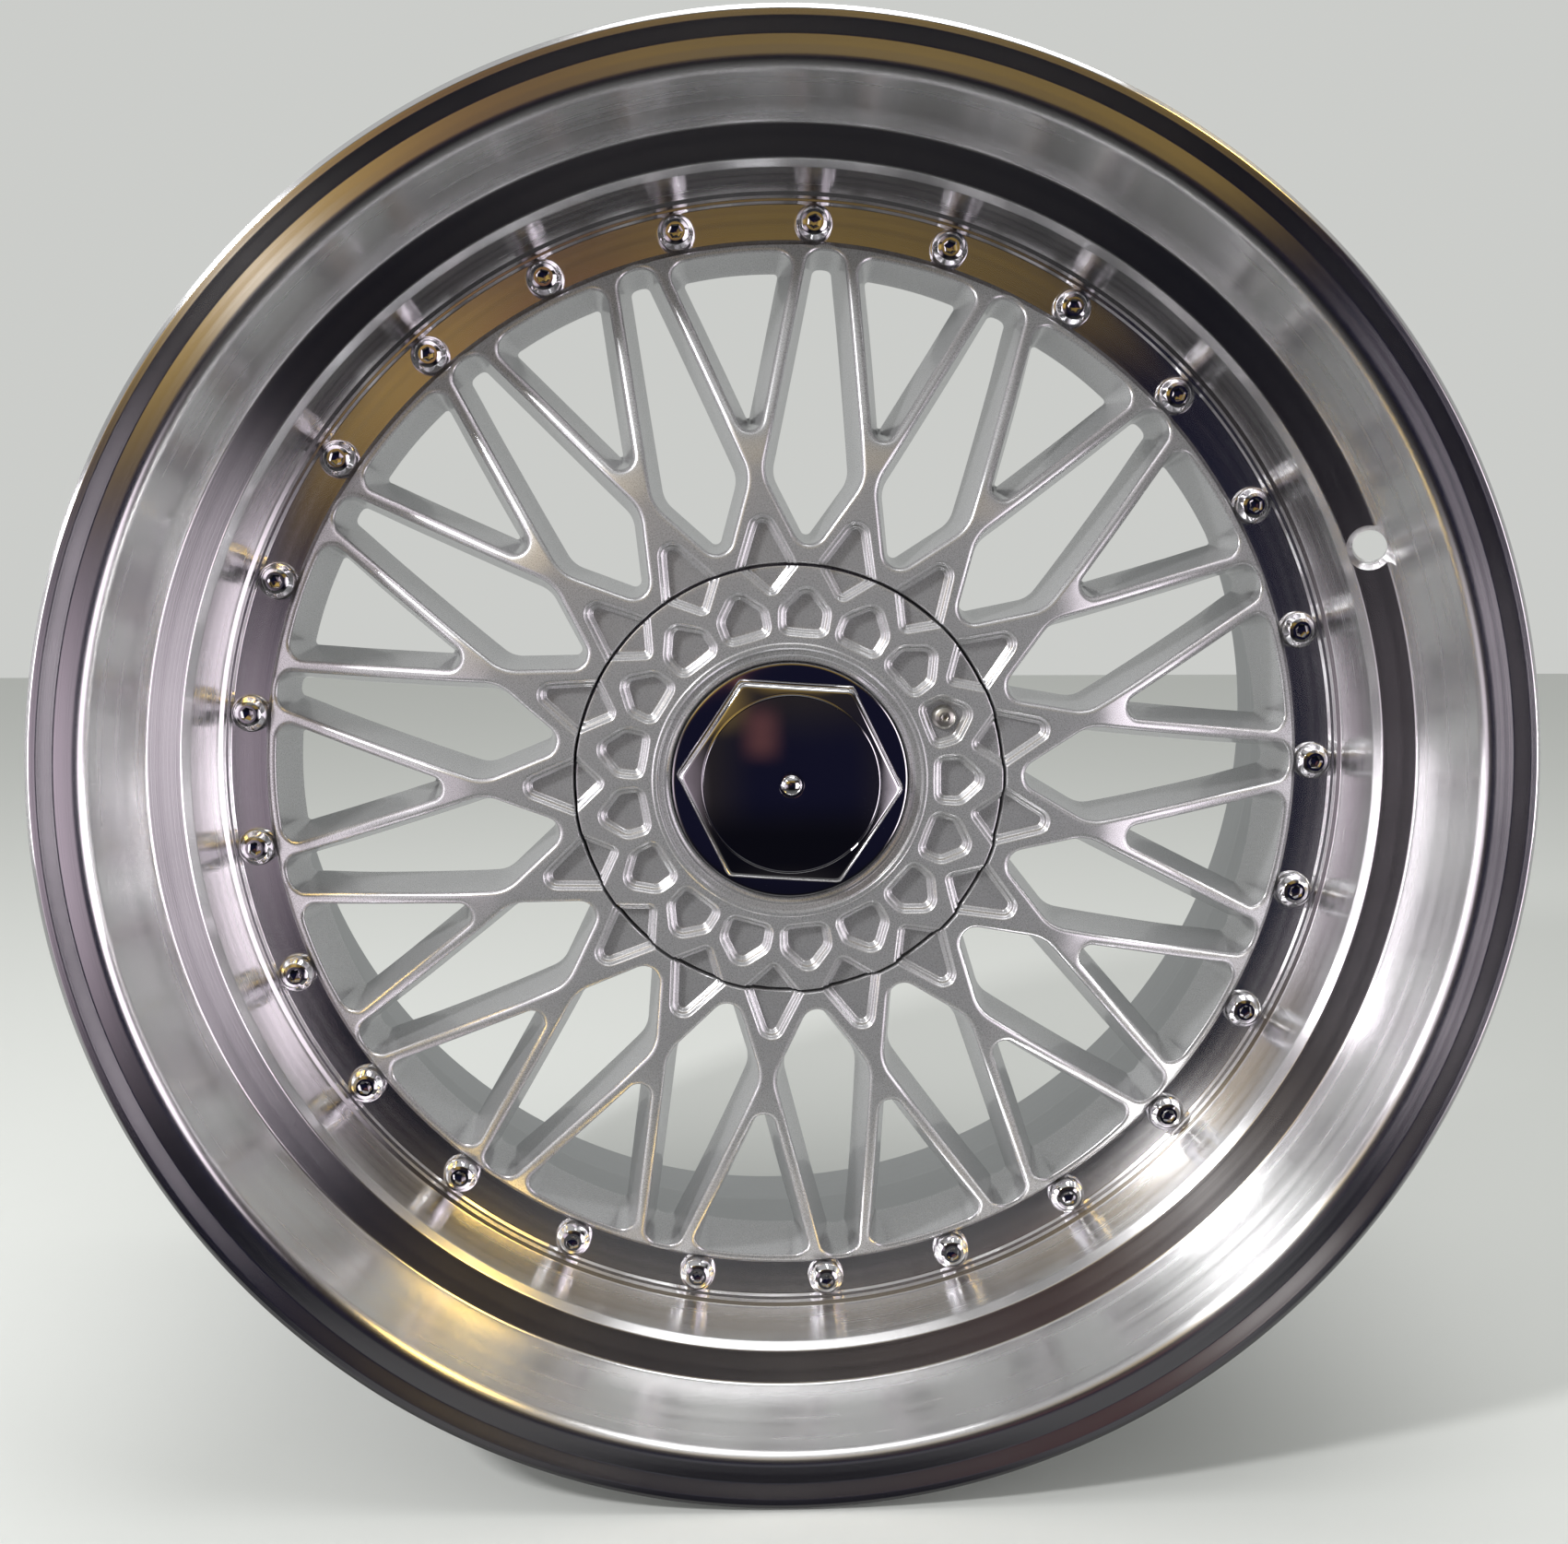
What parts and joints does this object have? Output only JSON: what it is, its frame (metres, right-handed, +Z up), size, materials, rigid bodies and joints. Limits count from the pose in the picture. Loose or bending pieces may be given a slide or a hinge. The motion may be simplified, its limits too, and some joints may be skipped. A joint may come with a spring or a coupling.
{
  "type": "wheel rim",
  "caption": "Three-piece racing wheel rim: polished stepped deep-dish lip, silver mesh-spoke disc, bolted barrel, cap plate and domed hexagonal centre cap.",
  "frame": {"origin": "on the wheel's axis, half way between the two rim flanges", "axes": "+Y along the spin axis towards the car, -Y out of the visible face, +Z up, +X to the right seen from the front"},
  "size_m": [0.497, 0.2642, 0.497],
  "materials": {
    "polished_aluminium": "mirror polished, with fine turning marks",
    "silver_paint": "forged aluminium in fine metallic silver paint under satin clear coat",
    "barrel_paint": "spun aluminium in satin silver paint",
    "chrome": "bright chrome",
    "zinc_steel": "zinc plated steel",
    "black_rubber": "matt rubber and sealant"
  },
  "bodies": {
    "wheel": {"outer_lip": "polished_aluminium", "inner_barrel": "barrel_paint", "joint_seal": "black_rubber", "centre_disc": "silver_paint", "cap_carrier": "zinc_steel", "assembly_bolt_01": "chrome", "assembly_bolt_02": "chrome", "assembly_bolt_03": "chrome", "assembly_bolt_04": "chrome", "assembly_bolt_05": "chrome", "assembly_bolt_06": "chrome", "assembly_bolt_07": "chrome", "assembly_bolt_08": "chrome", "assembly_bolt_09": "chrome", "assembly_bolt_10": "chrome", "assembly_bolt_11": "chrome", "assembly_bolt_12": "chrome", "assembly_bolt_13": "chrome", "assembly_bolt_14": "chrome", "assembly_bolt_15": "chrome", "assembly_bolt_16": "chrome", "assembly_bolt_17": "chrome", "assembly_bolt_18": "chrome", "assembly_bolt_19": "chrome", "assembly_bolt_20": "chrome", "assembly_bolt_21": "chrome", "assembly_bolt_22": "chrome", "assembly_bolt_23": "chrome", "assembly_bolt_24": "chrome", "assembly_bolt_25": "chrome", "assembly_nut_01": "zinc_steel", "assembly_nut_02": "zinc_steel", "assembly_nut_03": "zinc_steel", "assembly_nut_04": "zinc_steel", "assembly_nut_05": "zinc_steel", "assembly_nut_06": "zinc_steel", "assembly_nut_07": "zinc_steel", "assembly_nut_08": "zinc_steel", "assembly_nut_09": "zinc_steel", "assembly_nut_10": "zinc_steel", "assembly_nut_11": "zinc_steel", "assembly_nut_12": "zinc_steel", "assembly_nut_13": "zinc_steel", "assembly_nut_14": "zinc_steel", "assembly_nut_15": "zinc_steel", "assembly_nut_16": "zinc_steel", "assembly_nut_17": "zinc_steel", "assembly_nut_18": "zinc_steel", "assembly_nut_19": "zinc_steel", "assembly_nut_20": "zinc_steel", "assembly_nut_21": "zinc_steel", "assembly_nut_22": "zinc_steel", "assembly_nut_23": "zinc_steel", "assembly_nut_24": "zinc_steel", "assembly_nut_25": "zinc_steel"},
    "cap_plate": {"cap_plate": "silver_paint"},
    "hex_cap": {"hex_cap": "chrome", "cap_stud": "chrome", "cap_o_ring": "black_rubber"},
    "cap_screw": {"cap_screw": "zinc_steel"}
  },
  "joints": [
    {"name": "cap_plate_lift", "type": "slide", "parent": "wheel", "child": "cap_plate", "axis": [0, -1, 0], "range_m": [0, 0.06]},
    {"name": "hex_cap_turn", "type": "hinge", "parent": "cap_plate", "child": "hex_cap", "pos_m": [0, -0.1, 0], "axis": [0, 1, 0], "continuous": true},
    {"name": "cap_screw_turn", "type": "hinge", "parent": "cap_plate", "child": "cap_screw", "pos_m": [0.05424, -0.08845, 0.02191], "axis": [0, 1, 0], "continuous": true}
  ]
}
